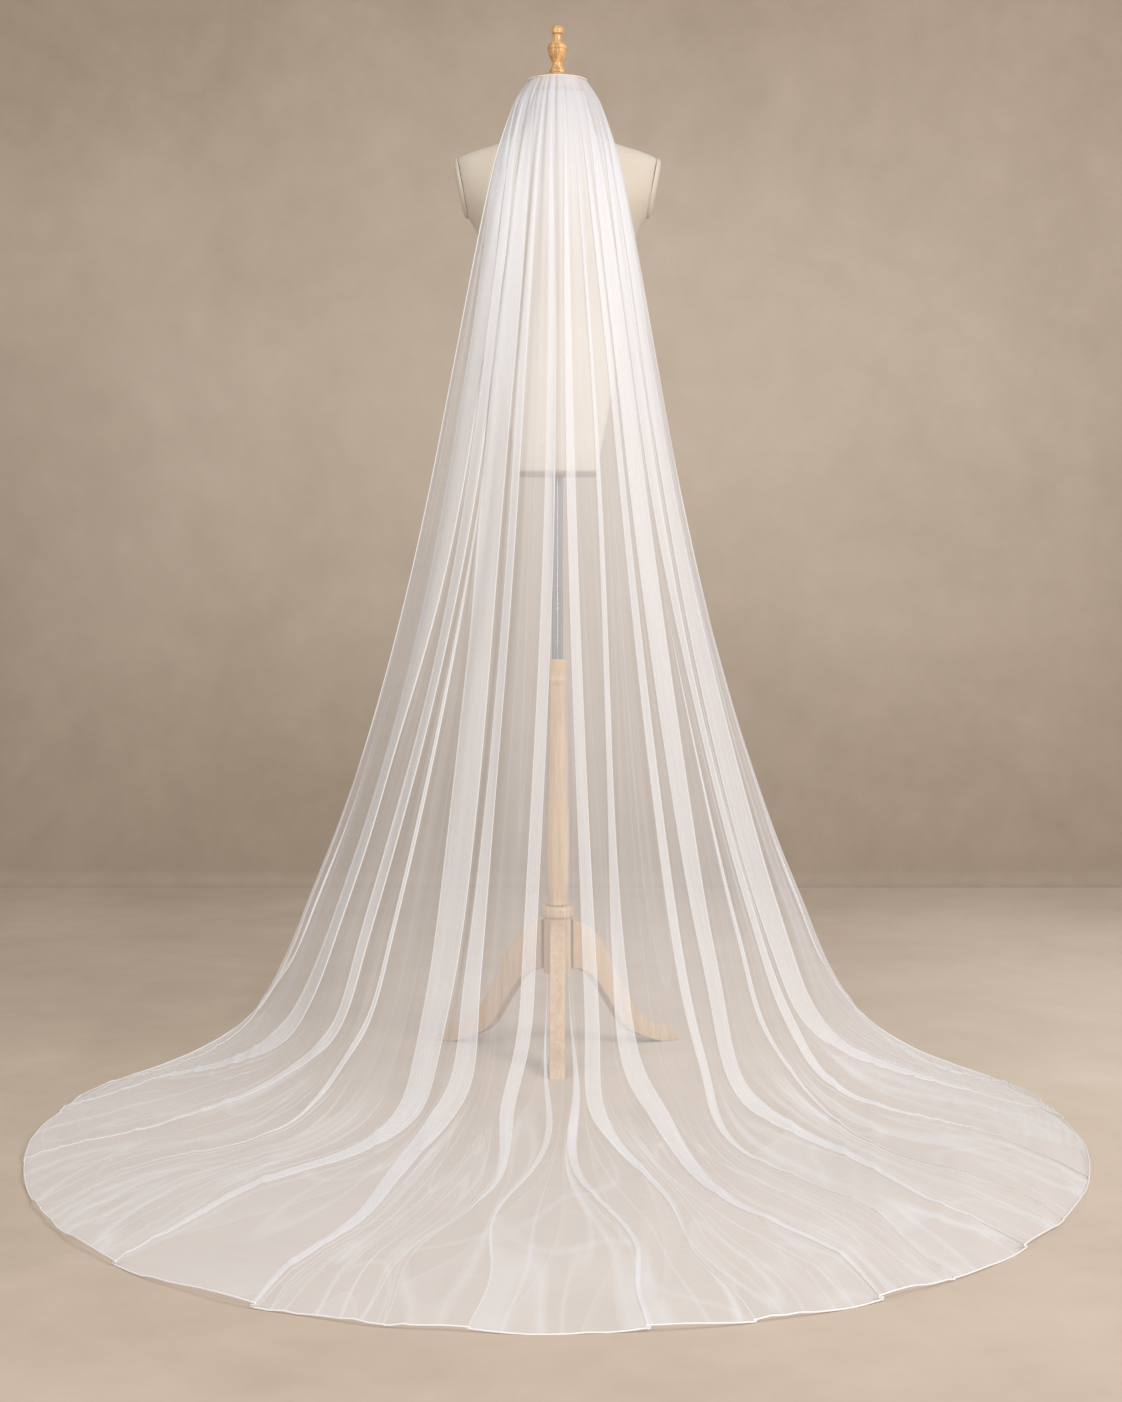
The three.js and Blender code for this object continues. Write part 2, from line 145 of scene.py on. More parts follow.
class Finish:
    """A material, and the one way in which its nodes are added."""

    def __init__(self, name):
        self.material = bpy.data.materials.new(name)
        self.material.use_nodes = True
        self.tree = self.material.node_tree
        self.tree.nodes.clear()

    def node(self, kind, settings=None, sockets=None, output=0):
        node = self.tree.nodes.new(kind)
        for key, value in (settings or {}).items():
            if key == "stops":
                self.set_stops(node.color_ramp, value)
            else:
                setattr(node, key, value)
        for key, value in (sockets or {}).items():
            if isinstance(value, Wire):
                self.tree.links.new(value.socket, node.inputs[key])
            else:
                node.inputs[key].default_value = value
        return Wire(self, node.outputs[output]) if node.outputs else None

    def set_stops(self, ramp, stops):
        while len(ramp.elements) < len(stops):
            ramp.elements.new(0.5)
        for element, (place, colour) in zip(ramp.elements, stops):
            element.position = place
            element.color = colour

    def mixed(self, factor, first, second):
        colours = {0: factor, 6: first, 7: second}
        return self.node("ShaderNodeMix", {"data_type": "RGBA"}, colours, output=2)

    def scaled(self, vector, sizes):
        sockets = {0: vector, 1: sizes}
        return self.node("ShaderNodeVectorMath", {"operation": "MULTIPLY"}, sockets)

    def place(self, output="Object"):
        return self.node("ShaderNodeTexCoord", output=output)

    def noise(self, vector, scale, detail=3.0, roughness=0.5, distortion=0.0):
        sockets = {"Vector": vector, "Scale": scale, "Detail": detail}
        sockets.update({"Roughness": roughness, "Distortion": distortion})
        return self.node("ShaderNodeTexNoise", {}, sockets, output="Fac")

    def bump(self, height, strength, distance):
        sockets = {"Height": height, "Strength": strength, "Distance": distance}
        return self.node("ShaderNodeBump", {}, sockets)

    def surface(self, shader):
        self.node("ShaderNodeOutputMaterial", {}, {"Surface": shader})
        return self.material


print("finishes can be written as sums")

# %% [markdown]
# ## The veil's table
# The veil is drawn as the frame has it: rings of cloth from the gathered top to the hem, and folds
# that cross them all. Tulle is so light that its folds fall over and lie flat. Each one is a pleat
# of three layers, which shows as a whiter band between two crisp creases. The table says where a
# pleat runs and how wide it is while it hangs, on the floor and at the hem.

# %% Rings and pleats
# width, side, back: half the ring's width, and how far behind the form's axis its free edges and
# its middle lie; sweep: degrees from the middle to a free edge; high, edge, rise: height in the
# middle and at the free edges, and how late it changes; cloth: how far the folds have opened
ring_columns = ["width", "side", "back", "sweep", "high", "edge", "rise", "cloth"]
rings = np.array([
    [53.6, 1, 54.6, 90, 1767.2, 1765, 2, 13],
    [67, 9, 70, 90, 1744, 1741, 2, 17],
    [78, 30, 88, 90, 1709, 1710, 2, 21],
    [102, 84, 132, 90, 1610, 1618, 2, 27],
    [122, 119, 163, 90, 1500, 1510, 2, 37],
    [144, 122, 194, 90, 1360, 1372, 2, 58],
    [170, 106, 234, 90, 1200, 1216, 2, 76],
    [204, 92, 286, 90, 1000, 1022, 2, 92],
    [245, 84, 342, 90, 800, 830, 2, 104],
    [295, 82, 408, 90, 600, 640, 2.5, 112],
    [352, 86, 486, 90, 400, 455, 3, 120],
    [402, 92, 570, 90, 240, 320, 3, 125],
    [448, 106, 680, 91, 110, 218, 3.5, 130],
    [500, 136, 800, 92, 40, 140, 4, 134],
    [562, 190, 950, 94, 8, 78, 4.5, 136],
    [632, 266, 1120, 97, 0, 38, 5, 140],
    [702, 368, 1310, 100, 0, 16, 5, 142],
    [768, 500, 1520, 104, 0, 5, 5, 146],
    [808, 620, 1711, 107, 0, 0, 5, 150],
])

# upper, lower, last: degrees round the ring at rings 6 and 11 and at the hem; hang, floor, hem:
# width of the pleat in millimetres; start, gone: rings between which it changes from nothing and to
# its width at the hem; fall: the side that it lies to; clear: cover of the single cloth after it
pleat_columns = [
    "upper", "lower", "last", "hang", "floor", "hem", "start", "gone", "fall", "clear",
]
pleats = [dict(zip(pleat_columns, row)) for row in [
    [-70, -77, -99, 4, 16, 1, 9, 18, -1, 0.25],
    [-53, -60, -95, 62, 58, 3, 2, 18, -1, 0.33],
    [-40.5, -47.5, -76, 30, 26, 5, 2, 18, -1, 0.31],
    [-36, -40, -60, 9, 13, 2, 7, 17, -1, 0.31],
    [-30.5, -25, -43, 52, 46, 7, 2, 18, -1, 0.31],
    [-19, -18, -26, 18, 40, 7, 2, 18, -1, 0.30],
    [-3, -6, -14, 20, 22, 1, 2, 15.6, -1, 0.25],
    [-1.5, -2, -7, 4, 11, 2, 11.5, 17, -1, 0.25],
    [2, 2.5, 7.5, 4, 16, 5, 11.5, 18, 1, 0.26],
    [6.2, 7, 16.5, 19, 26, 3, 2, 16, 1, 0.30],
    [19, 13.5, 28.5, 11, 36, 7, 2, 18, 1, 0.29],
    [30, 27, 37, 20, 18, 2, 2, 17, 1, 0.34],
    [39.5, 35, 48, 43, 40, 7, 2, 18, 1, 0.31],
    [46, 44, 57, 9, 14, 2, 8, 17, 1, 0.31],
    [49.5, 51.5, 71, 28, 26, 4, 2, 18, 1, 0.33],
    [60, 57, 92, 48, 56, 3, 2, 18, 1, 0.26],
    [70, 77, 99, 4, 16, 1, 9, 18, 1, 0.24],
]]
first_clear = 0.24
thin_layer = 0.86
last_ring = len(rings) - 1
upper_ring = 6
hip_ring = 9
lower_ring = 11
train_ring = 13
gather_sweep = 85
loose_width = 10
hang_power = 0.6
stand_off = 0.2
wide_pleat = 25
sway_angle = 1.7
sway_speed = 1.4
sway_step = 2.1
still_ring = 16
hem_ring = last_ring - 1
# radius in millimetres of the turns of a pleat at the gather and hanging, and what the floor takes
# from it and the hem gives back
tight_turn, loose_turn, pressed_turn, hem_turn = 0.5, 1.7, 0.8, 0.6
print(len(rings), "rings and", len(pleats), "pleats")


# %% Rings between the rings
def smooth(x):
    x = np.clip(x, 0, 1)
    return x * x * (3 - 2 * x)


def mix(a, b, share):
    return a + (b - a) * share


def between(table, place):
    """A smooth curve through the rows of a table, at a place counted in rows."""
    i = int(min(max(math.floor(place), 0), len(table) - 2))
    f = place - i
    before, here = table[max(i - 1, 0)], table[i]
    after, beyond = table[i + 1], table[min(i + 2, len(table) - 1)]
    leave, reach = (after - before) / 2, (beyond - here) / 2
    return (
        here * (2 * f**3 - 3 * f**2 + 1) + leave * (f**3 - 2 * f**2 + f)
        + after * (3 * f**2 - 2 * f**3) + reach * (f**3 - f**2)
    )


def ring_at(place):
    """A ring of the surface that the pleats lie on, a little outside the table's own."""
    ring = dict(zip(ring_columns, between(rings, min(max(place, 0), last_ring))))
    lift = stand_off * ring["cloth"] * (1 - smooth((place - lower_ring) / 3)) * smooth(place / 3)
    ring["width"] += lift
    ring["back"] += lift
    return ring


def surface_point(ring, angle):
    """A point of that surface, in millimetres."""
    reach = ring["back"] - ring["side"]
    sideways = np.abs(np.sin(angle * 90 / ring["sweep"]))
    rise = ring["high"] + (ring["edge"] - ring["high"]) * sideways ** ring["rise"]
    across = ring["width"] * np.sin(angle)
    return np.stack([across, -(ring["side"] + reach * np.cos(angle)), rise], axis=-1)


def surface_frame(place, angle):
    """How long one radian of ring is there, and which way is out of the surface."""
    nudge = 0.01
    ring = ring_at(place)
    along = surface_point(ring, angle + nudge) - surface_point(ring, angle - nudge)
    down = surface_point(ring_at(place + 0.5), angle) - surface_point(ring_at(place - 0.5), angle)
    outward = np.cross(down, along)
    stretch = np.linalg.norm(along, axis=-1) / (2 * nudge)
    return stretch, outward / np.linalg.norm(outward, axis=-1, keepdims=True)


print("half-way down ring 8:", {k: round(float(v)) for k, v in ring_at(8.5).items()})


# %% Pleats
def pleat_width(pleat, place):
    ring = ring_at(place)
    hanging = pleat["hang"] * (ring["cloth"] / rings[hip_ring][7]) ** hang_power
    width = mix(hanging, pleat["floor"], smooth((place - hip_ring) / (train_ring - hip_ring)))
    narrowed = np.clip((place - train_ring) / (pleat["gone"] - train_ring), 0, 1) ** 0.8
    width = mix(width, pleat["hem"], narrowed)
    return max(width * smooth((place - pleat["start"] + 1) / 3), 0.4)


def gather_angle(pleat):
    """At the gather the pleats lie side by side, each with a share that goes with its width."""
    shares = [one["hang"] + loose_width for one in pleats]
    before = sum(shares[: pleats.index(pleat)])
    middle_share = (before + shares[pleats.index(pleat)] / 2) / sum(shares)
    return mix(-gather_sweep, gather_sweep, middle_share)


def pleat_angle(pleat, place):
    if place <= upper_ring:
        return mix(gather_angle(pleat), pleat["upper"], smooth(place / upper_ring))
    if place <= lower_ring:
        fallen = smooth((place - upper_ring) / (lower_ring - upper_ring))
        return mix(pleat["upper"], pleat["lower"], fallen)
    fallen = smooth((place - lower_ring) / (last_ring - lower_ring))
    free = smooth((place - lower_ring) / 2) * (1 - smooth((place - still_ring) / 2))
    sway = sway_angle * math.sin(sway_speed * place + sway_step * pleats.index(pleat))
    return mix(pleat["lower"], pleat["last"], fallen) + free * sway


def pleat_shape(pleat, place):
    """Points across a flat pleat: how far along the surface, how far out of it, and how creased."""
    width = pleat_width(pleat, place)
    loose = mix(tight_turn, loose_turn, smooth(place / 5))
    loose -= pressed_turn * smooth((place - lower_ring) / 2)
    loose += hem_turn * smooth(place - hem_ring)
    radius = min(loose, width / 5)
    inner = 3 if max(pleat["hang"], pleat["floor"]) > wide_pleat else 1
    bend = np.radians([-90, -45, 0, 45, 90])
    reach = width / 2 - radius
    under = np.linspace(-width / 2, reach, inner + 2)[:-1]
    back = np.linspace(reach, -reach, inner + 2)[1:-1]
    over = np.linspace(-reach, width / 2, inner + 2)[1:]
    along = np.concatenate([
        under, reach + radius * np.cos(bend), back, -reach - radius * np.cos(bend), over,
    ])
    out = np.concatenate([
        0 * under, radius * (1 + np.sin(bend)), 0 * back + 2 * radius,
        radius * (3 + np.sin(bend)), 0 * over + 4 * radius,
    ])
    crease = np.concatenate([0 * under, np.cos(bend), 0 * back, np.cos(bend), 0 * over])
    crease *= min(width / 8, 1)
    if pleat["fall"] < 0:
        return -along[::-1], out[::-1], crease[::-1]
    return along, out, crease


widest = round(pleat_width(pleats[1], hip_ring) * 3)
print("the widest pleat takes", widest, "mm of cloth at hip height")

# %% [markdown]
# ## One fine sheet
# The sheet is a grid: rows go down the veil and columns cross it, crowded at the creases and on the
# floor, where the tulle wrinkles. Fine gathers, the slow waves of hanging cloth and the small
# wrinkles of the train are then moved out of the surface, all layers of a pleat together. A cloth
# simulation would slide sheer pleats about for minutes; this keeps every one where it was seen.

# %% Grid of the sheet
flat_steps = 8
hang_rows = 8
train_rows = 17


def row_places():
    hanging = np.arange(0, lower_ring, 1 / hang_rows)
    lying = np.linspace(lower_ring, last_ring, train_rows * (last_ring - lower_ring) + 1)
    return np.concatenate([hanging, lying])


def sheet_row(place):
    """One row of the sheet: its points, and each one's way out, angle, crease and cover."""
    edge = math.radians(ring_at(place)["sweep"])
    parts = []
    here, lifted, clear = -edge, 0.0, first_clear
    for pleat in pleats + [None]:
        start, lift = edge, 0.0
        if pleat:
            middle = math.radians(pleat_angle(pleat, place))
            stretch = surface_frame(place, middle)[0]
            along, out, crease = pleat_shape(pleat, place)
            run = middle + along / stretch
            start, lift = run[0], out[0]
        step = np.linspace(0, 1, flat_steps + 2)[1:-1]
        sunk = mix(lifted, lift, smooth(step))
        parts.append([mix(here, start, step), sunk, 0 * step, 0 * step + clear])
        if pleat:
            thin = thin_layer * np.linspace(clear, pleat["clear"], len(run))
            parts.append([run, out, crease, thin])
            here, lifted, clear = run[-1], out[-1], pleat["clear"]
    angle, out, crease, cover = (np.concatenate(column) for column in zip(*parts))
    angle = np.concatenate([[-edge], angle, [edge]])
    out, crease = np.pad(out, 1), np.pad(crease, 1)
    cover = np.pad(cover, 1, mode="edge")
    outward = surface_frame(place, angle)[1]
    points = surface_point(ring_at(place), angle) + out[:, None] * outward
    return points, outward, angle, crease, cover


places = row_places()
columns = zip(*[sheet_row(place) for place in places])
sheet, outward, angles, creased, cover_share = (np.array(column) for column in columns)
sheet *= MM
print("the sheet has", sheet.shape[0], "rows and", sheet.shape[1], "columns")


# %% Gathers, waves and wrinkles
wander_bend = 1.3
wander_height = 1.8
gather_waves = ((22, 1.0, 3), (35, 0.8, 5), (54, 0.5, 8))  # count, size and seed of each
gather_height, gather_fade = 1.1 * MM, 0.30
wave_height, full_waves_at = 6.5 * MM, 0.8
ripple_height, long_fold_height = 0.3 * MM, 3.2 * MM
hem_lift, hem_sway = 2.2 * MM, 8 * MM
lowest = 0.7 * MM


def lengths(grid, axis):
    steps = np.linalg.norm(np.diff(grid, axis=axis), axis=2)
    start = np.zeros_like(np.take(steps, [0], axis=axis))
    return np.cumsum(np.concatenate([start, steps], axis=axis), axis=axis)


def wander(x, y, seed):
    """A slow field of hills and hollows between about -1 and 1."""
    chance = np.random.default_rng(seed)
    field = np.zeros_like(x)
    for size in (1.0, 0.72, 0.5, 0.36):
        way = chance.uniform(0, 2 * np.pi)
        lift = chance.uniform(0, 2 * np.pi, 2)
        bend = np.sin(y * math.cos(way) / size + lift[0])
        along = (x * math.cos(way) + y * math.sin(way)) / size
        field += size * np.sin(along + lift[1] + wander_bend * bend)
    return field / wander_height


across = lengths(sheet, 1)
down = lengths(sheet, 0)
hang = down.mean(axis=1, keepdims=True) * np.ones_like(down)
row_place = places[:, None] * np.ones_like(down)
on_floor = smooth((row_place - 12.2) / 1.8)
floor_radius = np.array([ring_at(place)["back"] for place in places])[:, None] * MM
round_floor = angles * floor_radius

gathers = np.zeros_like(angles)
for count, size, seed in gather_waves:
    drift = wander(angles * 5, hang * 2.2, seed)
    gathers += size * np.sin(count * angles + 1.4 * drift)
gathers *= gather_height * np.exp(-hang / gather_fade) * mix(0.4, 1, smooth(hang / 0.05))

waves = wander(angles * 14, hang * 1.1, 11) + 0.4 * wander(angles * 31, hang * 1.7, 13)
waves *= wave_height * smooth(hang / full_waves_at) * (1 - 0.8 * on_floor)

patches = smooth(0.5 + 0.7 * wander(round_floor * 5, hang * 5, 21))
ripples = 1 - np.abs(wander(round_floor * 22, hang * 42, 23))
long_folds = 1 - np.abs(wander(round_floor * 17, hang * 4.5, 29))
in_from_edge = smooth((1 - np.abs(angles) / np.abs(angles[:, :1])) / 0.06)
wrinkles = ripple_height * patches * ripples**3 + long_fold_height * long_folds**5
wrinkles *= on_floor * in_from_edge

sheet += outward * (gathers + waves + wrinkles)[:, :, None]
hem_near = smooth(row_place - hem_ring)
sheet[:, :, 2] += hem_near * hem_lift * (1 + wander(round_floor * 11, hang * 0, 31))
sheet[:, :, 1] -= hem_near * hem_sway * wander(round_floor * 8, hang * 0, 37) * np.cos(angles)
sheet[:, :, 2] = np.maximum(sheet[:, :, 2], lowest)
sheet[:, :, 1] += form_axis_y
hem_length, cloth_length = round(float(across[-1, -1]), 2), round(float(hang[-1, 0]), 2)
print("hem is", hem_length, "m long, and the cloth", cloth_length, "m")


# %% Pieces from points
def piece_of(name, points, faces, material, body="root", sharp=math.radians(38)):
    """A mesh object that rides on a body, with its finish and its hard edges marked."""
    mesh = bpy.data.meshes.new(name)
    mesh.from_pydata([tuple(p) for p in points], [], [tuple(f) for f in faces])
    mesh.validate()
    work = bmesh.new()
    work.from_mesh(mesh)
    for face in work.faces:
        face.smooth = True
    if sharp:
        for edge in work.edges:
            edge.smooth = edge.calc_face_angle(0) < sharp
    work.to_mesh(mesh)
    work.free()
    mesh.materials.append(material)
    piece = bpy.data.objects.new(name, mesh)
    bpy.context.collection.objects.link(piece)
    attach(piece, body)
    return piece


def grid_faces(rows, columns, closed=False):
    """Quads of a grid of points that are listed row by row."""
    last = columns if closed else columns - 1
    row, column = np.meshgrid(np.arange(rows - 1), np.arange(last), indexing="ij")
    right = (column + 1) % columns
    corners = [row * columns + column, (row + 1) * columns + column,
               (row + 1) * columns + right, row * columns + right]
    return np.stack(corners, axis=-1).reshape(-1, 4)


def lay_out(piece, name, uv):
    """Gives each corner of a piece its place on the flat cloth or board."""
    mesh = piece.data
    layer = mesh.uv_layers.new(name=name)
    corner = np.zeros(len(mesh.loops), dtype=np.int32)
    mesh.loops.foreach_get("vertex_index", corner)
    layer.data.foreach_set("uv", uv.reshape(-1, 2)[corner].astype(np.float32).ravel())


def number_on(piece, name, values):
    layer = piece.data.attributes.new(name, "FLOAT", "POINT")
    layer.data.foreach_set("value", values.astype(np.float32).ravel())


print("pieces are made from grids of points")

# %% [markdown]
# ## Tulle
# Tulle is a net of fine white thread with holes of about a millimetre, far too small to cut one by
# one. What the eye sees is its cover: how much thread stands in the way of the light. One layer
# hides about a third of what is behind it, three in a pleat more than half, and near the comb the
# gathers pack many layers into one. A crease is a crisp line, because the net bunches along it.
# The smallest folds of the train are too many to model, so they are lines and soft steps of cover.

# %% Finish of the tulle
tulle = Finish("tulle")
cloth_place = tulle.node("ShaderNodeUVMap", {"uv_map": "cloth"})
fall_place = tulle.node("ShaderNodeUVMap", {"uv_map": "fall"})
packed = tulle.node("ShaderNodeAttribute", {"attribute_name": "packed"}, output="Fac")
thick = tulle.node("ShaderNodeAttribute", {"attribute_name": "cover"}, output="Fac")
lying = tulle.node("ShaderNodeAttribute", {"attribute_name": "lying"}, output="Fac")
crease = tulle.node("ShaderNodeAttribute", {"attribute_name": "crease"}, output="Fac")
facing = tulle.node("ShaderNodeLayerWeight", {}, {"Blend": 0.5}, output="Facing")


def lines_of(noise, width):
    """Thin lines where a noise passes through its middle value."""
    return (1 - noise.away(0.5) / width).within(0, 1)


streaks = tulle.noise(tulle.scaled(fall_place, (70.0, 0.9, 1.0)), 1.0, 2.0, 0.6)
threads = tulle.noise(tulle.scaled(fall_place, (34.0, 0.5, 1.0)), 1.0, 1.0, 0.6)
folds_down = tulle.noise(tulle.scaled(fall_place, (48.0, 0.8, 1.0)), 1.0, 1.0, 0.6)
fine_folds = tulle.noise(tulle.scaled(fall_place, (120.0, 1.3, 1.0)), 1.0, 0.0, 0.5)
crossing = tulle.noise(tulle.scaled(fall_place, (26.0, 1.7, 1.0)), 1.0, 1.0, 0.5)
hairs = tulle.noise(tulle.scaled(cloth_place, (22.0, 60.0, 1.0)), 1.0, 1.0, 0.6, 1.2)
turned_over = 14 * tulle.noise(tulle.scaled(fall_place, (9.0, 0.25, 1.0)), 1.0, 0.0, 0.5)
soft_folds = turned_over.sum("FRACT", turned_over) ** 5

full_cover, edge_on_cover = 0.93, 0.95
least_cover, most_cover = 0.05, 0.98
streaked = (streaks - 0.5) * (0.08 + 0.3 * packed) + (hairs - 0.5) * 0.08 * lying
one_layer = thick + 0.03 * lying + streaked + soft_folds * (0.06 + 0.08 * lying)
gather_lines = lines_of(threads, 0.05) * packed
gathered = one_layer + packed * (full_cover - one_layer) - 0.22 * gather_lines

hanging_lines = lines_of(threads, 0.028) * (1 - lying)
long_lines = lines_of(folds_down, 0.026) + 0.7 * lines_of(fine_folds, 0.04)
lying_lines = (long_lines + 0.55 * lines_of(crossing, 0.016)) * lying
drawn_lines = (0.95 * crease + 0.1 * hanging_lines + 0.55 * lying_lines).within(0, 1)
creased_cover = gathered + (full_cover - gathered) * drawn_lines
veil_cover = creased_cover + (edge_on_cover - creased_cover) * facing**4
shown_cover = veil_cover.within(least_cover, most_cover)
# White thread, with painted shade: the colour turns greyer and bluer where the gathers pack near
# the comb, for the shade between them.
thread_and_painted_gather_shade = tulle.mixed(packed**3, (0.77, 0.775, 0.80, 1), (0.60, 0.605, 0.65, 1))
cloth_shader = tulle.node(
    "ShaderNodeBsdfPrincipled", {},
    {"Base Color": thread_and_painted_gather_shade, "Roughness": 0.82, "Sheen Weight": 0.25, "Sheen Roughness": 0.4,
     "Specular IOR Level": 0.2},
)
clear_shader = tulle.node("ShaderNodeBsdfTransparent")
tulle_material = tulle.surface(tulle.node(
    "ShaderNodeMixShader", {}, {0: shown_cover, 1: clear_shader, 2: cloth_shader},
))
print("tulle finish:", len(tulle.tree.nodes), "nodes")

# %% Veil
# The veil casts no shadow, because the layers of a pleat would shade each other grey, which the
# photo doesn't show. Bounced light passes it too.
packed_fade = 0.42
sheet_faces = grid_faces(*sheet.shape[:2])
sheet_points = sheet.reshape(-1, 3)
veil = piece_of("veil_sheet", sheet_points, sheet_faces, tulle_material, sharp=None)
hip_row = int(np.argmin(np.abs(places - hip_ring)))
along_hip = across[hip_row] * np.ones_like(across)
lay_out(veil, "cloth", np.stack([across, down], axis=-1))
lay_out(veil, "fall", np.stack([along_hip, hang], axis=-1))
number_on(veil, "packed", np.exp(-((hang / packed_fade) ** 1.2)))
number_on(veil, "cover", cover_share)
number_on(veil, "lying", on_floor)
number_on(veil, "crease", creased)
veil.visible_shadow = False
veil.visible_diffuse = False
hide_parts("veil_panel")
print("veil:", len(veil.data.polygons), "faces")

# %% [markdown]
# ## Corded edge
# The raw edge is rolled over a fine cord and sewn, which gives the thin white line round the whole
# veil and holds the hem in slow waves. Three tubes follow the sheet's own edge points: both sides
# and the hem. A fine twist on the tube stands for the stitches.

# %% Finish of the cord
cord_finish = Finish("satin_cord")
cord_place = cord_finish.node("ShaderNodeUVMap", {"uv_map": "cord"})
twist = cord_finish.node(
    "ShaderNodeTexWave", {"wave_type": "BANDS", "bands_direction": "DIAGONAL"},
    {"Vector": cord_finish.scaled(cord_place, (300.0, 500.0, 1.0)), "Scale": 1.0,
     "Distortion": 0.6},
    output="Fac",
)
cord_colour = cord_finish.mixed(twist, (0.80, 0.795, 0.81, 1), (0.90, 0.895, 0.91, 1))
cord_material = cord_finish.surface(cord_finish.node(
    "ShaderNodeBsdfPrincipled", {},
    {"Base Color": cord_colour, "Roughness": 0.55, "Sheen Weight": 0.2,
     "Normal": cord_finish.bump(twist, 0.4, 0.3 * MM)},
))


# %% Cords
edge_radius = 1.1 * MM
gather_radius = 1.1 * MM
gather_ring, gather_height_up = 53.2 * MM, 1768.0 * MM
gather_steps = 145
pucker_size, pucker_step = 0.35 * MM, 2.1
cord_girth = 0.01


def tube_along(name, path, radius, material, sides=10):
    path = np.asarray(path)
    ahead = np.gradient(path, axis=0)
    ahead /= np.linalg.norm(ahead, axis=1, keepdims=True)
    up = np.array([0.0, 0.0, 1.0]) if abs(ahead[0][2]) < 0.7 else np.array([0.0, 1.0, 0.0])
    rings_of_tube = []
    for point, way in zip(path, ahead):
        up = up - way * np.dot(up, way)
        up /= np.linalg.norm(up)
        turn = 2 * np.pi * np.arange(sides) / sides
        aside = np.cross(way, up)
        rings_of_tube.append(
            point + radius * (np.outer(np.cos(turn), up) + np.outer(np.sin(turn), aside))
        )
    points = np.concatenate(rings_of_tube)
    points[:, 2] = np.maximum(points[:, 2], 0.0)
    faces = [tuple(f) for f in grid_faces(len(path), sides, closed=True)]
    faces += [tuple(range(sides)), tuple(range(len(points) - 1, len(points) - 1 - sides, -1))]
    tube = piece_of(name, points, faces, material, sharp=None)
    run = np.concatenate([[0], np.cumsum(np.linalg.norm(np.diff(path, axis=0), axis=1))])
    round_it = np.tile(np.arange(sides) / sides * cord_girth, len(path))
    lay_out(tube, "cord", np.stack([np.repeat(run, sides), round_it], axis=-1))
    return tube


edge_left = tube_along("corded_edge_left", sheet[:, 0], edge_radius, cord_material)
edge_right = tube_along("corded_edge_right", sheet[:, -1], edge_radius, cord_material)
edge_hem = tube_along("corded_edge_hem", sheet[-1], edge_radius, cord_material)
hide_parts("edge_left")
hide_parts("edge_right")
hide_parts("edge_hem")

gather_turns = np.radians(np.linspace(-88, 88, gather_steps) - 90)
pucker = pucker_size * np.sin(np.arange(gather_steps) * pucker_step)
gather_path = np.stack([
    (gather_ring + pucker) * np.cos(gather_turns),
    form_axis_y + (gather_ring + pucker) * np.sin(gather_turns),
    gather_height_up + pucker,
], axis=1)
gather_cord = tube_along("gathering_thread", gather_path, gather_radius, cord_material)
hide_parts("gathering_cord")
print("cords:", [len(p.data.polygons) for p in (edge_left, edge_hem, edge_right, gather_cord)])

# %% [markdown]
# ## Linen
# The form is covered in unbleached linen, cut in panels and pulled tight, with narrow seams down
# the middle, over the blades and at the sides. The plain weave is two sets of threads a little
# over half a millimetre apart; slubs and slight fading keep it from looking printed.

# %% Finish of the linen
linen = Finish("linen")
linen_place = linen.node("ShaderNodeUVMap", {"uv_map": "linen"})
warp = linen.node(
    "ShaderNodeTexWave", {"wave_type": "BANDS", "bands_direction": "X"},
    {"Vector": linen_place, "Scale": 480.0, "Distortion": 1.2, "Detail": 2.0}, output="Fac",
)
weft = linen.node(
    "ShaderNodeTexWave", {"wave_type": "BANDS", "bands_direction": "Y"},
    {"Vector": linen_place, "Scale": 480.0, "Distortion": 1.2, "Detail": 2.0}, output="Fac",
)
slubs = linen.noise(linen.scaled(linen_place, (25.0, 260.0, 1.0)), 1.0, 3.0, 0.6)
cloudy = linen.noise(linen.place(), 7.0, 3.0, 0.55)
seam = linen.node("ShaderNodeAttribute", {"attribute_name": "seam"}, output="Fac")
tone = (0.55 * cloudy + 0.25 * slubs + 0.1 * (warp + weft)).within(0, 1)
plain_linen = linen.mixed(tone, (0.56, 0.495, 0.41, 1), (0.70, 0.635, 0.55, 1))
linen_colour = linen.mixed(0.45 * seam, plain_linen, (0.42, 0.33, 0.24, 1))
linen_relief = 0.5 * warp + 0.5 * weft + 0.4 * slubs
linen_material = linen.surface(linen.node(
    "ShaderNodeBsdfPrincipled", {},
    {"Base Color": linen_colour, "Roughness": 0.88, "Sheen Weight": 0.15,
     "Specular IOR Level": 0.25, "Normal": linen.bump(linen_relief, 0.35, 0.25 * MM)},
))
print("linen finish:", len(linen.tree.nodes), "nodes")

# %% [markdown]
# ## The form's body
# The body is lofted through level ovals, as a form maker pads up from level sections, and the
# curve through them is smooth. Seams are shallow grooves pressed into it, and at the
# armholes the body is trimmed flat for the plates.

# %% Body
# height, half the width, and depth to the front and to the back, in millimetres
torso_rings = np.array([
    [1058, 145, 100, 100],
    [1066, 150, 105, 105],
    [1110, 151, 108, 109],
    [1190, 145, 103, 104],
    [1270, 126, 90, 88],
    [1340, 112, 84, 80],
    [1400, 118, 98, 86],
    [1460, 135, 118, 96],
    [1500, 148, 118, 101],
    [1524, 164, 112, 103],
    [1550, 181, 102, 104],
    [1578, 190, 90, 99],
    [1604, 190, 76, 88],
    [1624, 184, 64, 74],
    [1638, 158, 58, 63],
    [1654, 108, 54, 56],
    [1674, 70, 51, 51],
    [1700, 56, 49, 49],
    [1745.7, 52, 48, 48],
])
torso_sides = 160
seam_angles = [-90, -118, -62, 90, 118, 62, 0, 180]
seam_width, seam_depth, seam_top = 1.6, 0.9, 1690
arm_centre = np.array([171, 0, 1575])
arm_tilt = math.radians(11)


